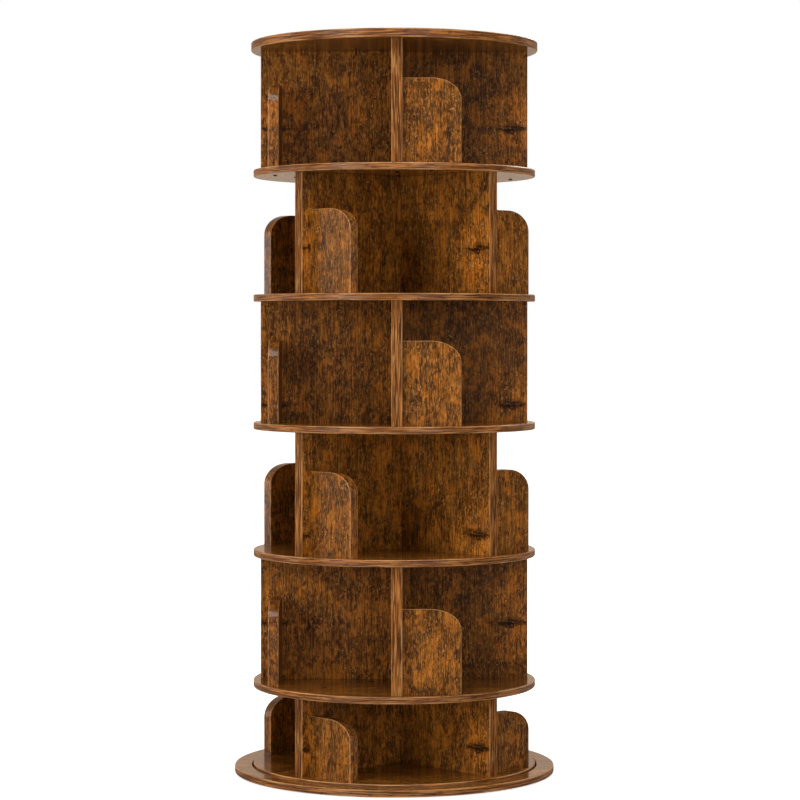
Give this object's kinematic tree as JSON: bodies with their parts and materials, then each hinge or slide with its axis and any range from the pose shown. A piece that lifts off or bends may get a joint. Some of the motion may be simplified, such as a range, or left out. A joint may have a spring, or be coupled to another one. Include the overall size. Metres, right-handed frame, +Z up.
{
  "type": "revolving bookcase",
  "caption": "Round revolving bookcase: open tiers of shelves, with windmill panels and low book stops, turn together on a ball bearing sunk in a wide, low base ring.",
  "frame": {"origin": "centre of the footprint, on the floor, on the axis that the tower turns about", "axes": "+Z up along the axis of the tower, -Y towards the front as pictured, +X to the right"},
  "size_m": [0.5499, 0.55, 1.2565],
  "materials": {
    "rustic_board": "melamine-faced chipboard printed as knotty rustic pine, satin, with a worn light edge",
    "base_steel": "black powder coat on sheet steel",
    "foot_foam": "matt black foam",
    "race_aluminium": "turned",
    "ball_steel": "ground and polished",
    "cage_nylon": "natural nylon",
    "black_screw": "black phosphated steel",
    "zinc_screw": "bright zinc plate",
    "beech_dowel": "plain beech"
  },
  "bodies": {
    "base": {"base_ring": "rustic_board", "base_plate": "base_steel", "foot_pads": "foot_foam", "base_screws": "zinc_screw", "bearing_outer_ring": "race_aluminium"},
    "ball_cage": {"bearing_balls": "ball_steel", "bearing_cage": "cage_nylon"},
    "tower": {"bearing_inner_ring": "race_aluminium", "turntable_screws": "zinc_screw", "bottom_shelf": "rustic_board", "shelf_5": "rustic_board", "shelf_4": "rustic_board", "shelf_3": "rustic_board", "shelf_2": "rustic_board", "shelf_1": "rustic_board", "top_board": "rustic_board", "tier_1_panel_a": "rustic_board", "tier_1_panel_b": "rustic_board", "tier_1_panel_c": "rustic_board", "tier_1_panel_d": "rustic_board", "tier_2_panel_a": "rustic_board", "tier_2_panel_b": "rustic_board", "tier_2_panel_c": "rustic_board", "tier_2_panel_d": "rustic_board", "tier_3_panel_a": "rustic_board", "tier_3_panel_b": "rustic_board", "tier_3_panel_c": "rustic_board", "tier_3_panel_d": "rustic_board", "tier_4_panel_a": "rustic_board", "tier_4_panel_b": "rustic_board", "tier_4_panel_c": "rustic_board", "tier_4_panel_d": "rustic_board", "tier_5_panel_a": "rustic_board", "tier_5_panel_b": "rustic_board", "tier_5_panel_c": "rustic_board", "tier_5_panel_d": "rustic_board", "tier_6_panel_a": "rustic_board", "tier_6_panel_b": "rustic_board", "tier_6_panel_c": "rustic_board", "tier_6_panel_d": "rustic_board", "tier_1_book_stops": "rustic_board", "tier_2_book_stops": "rustic_board", "tier_3_book_stops": "rustic_board", "tier_4_book_stops": "rustic_board", "tier_5_book_stops": "rustic_board", "tier_6_book_stops": "rustic_board", "panel_screws": "black_screw", "stop_screws": "black_screw", "shelf_screws": "black_screw", "panel_dowels": "beech_dowel", "stop_dowels": "beech_dowel", "top_board_dowels": "beech_dowel"}
  },
  "joints": [
    {"name": "tower_turn", "type": "hinge", "parent": "base", "child": "tower", "pos_m": [0, 0, 0.0075], "axis": [0, 0, 1], "continuous": true},
    {"name": "cage_roll", "type": "hinge", "parent": "base", "child": "ball_cage", "pos_m": [0, 0, 0.0075], "axis": [0, 0, 1], "continuous": true}
  ],
  "couplings": [
    {"joint": "cage_roll", "follows": "tower_turn", "ratio": 0.495}
  ]
}
